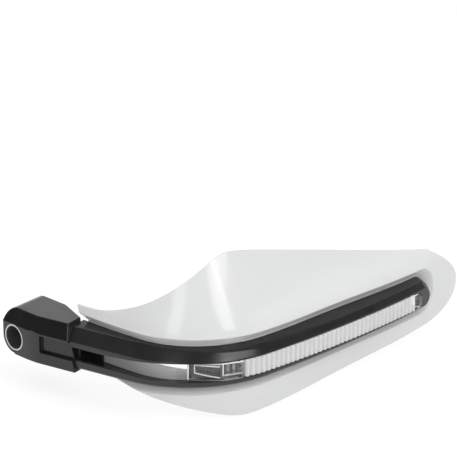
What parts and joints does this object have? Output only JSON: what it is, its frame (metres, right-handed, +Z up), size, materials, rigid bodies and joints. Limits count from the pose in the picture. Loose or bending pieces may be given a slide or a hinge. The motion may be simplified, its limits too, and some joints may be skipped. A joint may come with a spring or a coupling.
{
  "type": "motorcycle hand guard",
  "caption": "Bar-end hand guard with a curved moulded wind shield, a bent black support arm, a lit strip behind a clear lens and a bored bracket that bolts to the handlebar's end.",
  "frame": {"origin": "on the handlebar's axis, at the face that the bar's end rests on", "axes": "+X along the bar, from its end towards the rider's middle; -Y forward; +Z up"},
  "size_m": [0.275, 0.158, 0.0956],
  "materials": {
    "shield_white": "moulded white with a soft gloss",
    "arm_black": "black satin with a fine grain",
    "bracket_black": "black satin with a fine grain",
    "bush_metal": "turned",
    "screw_steel": "dark zinc",
    "grommet_rubber": "matt",
    "lens_clear": "clear, with upright flutes on its back",
    "reflector_bright": "bright metal film",
    "board_white": "white lacquer",
    "led_chip": "pale yellow phosphor",
    "resistor_dark": "dark glaze"
  },
  "bodies": {
    "root": {"shield_shell": "shield_white", "support_arm": "arm_black", "bar_end_bracket": "bracket_black", "bracket_bush": "bush_metal", "arm_screw": "screw_steel", "shell_screws": "screw_steel", "wire_grommet": "grommet_rubber", "lamp_lens": "lens_clear", "lamp_reflector": "reflector_bright", "lamp_board": "board_white", "lamp_leds": "led_chip", "lamp_resistors": "resistor_dark"}
  },
  "joints": []
}
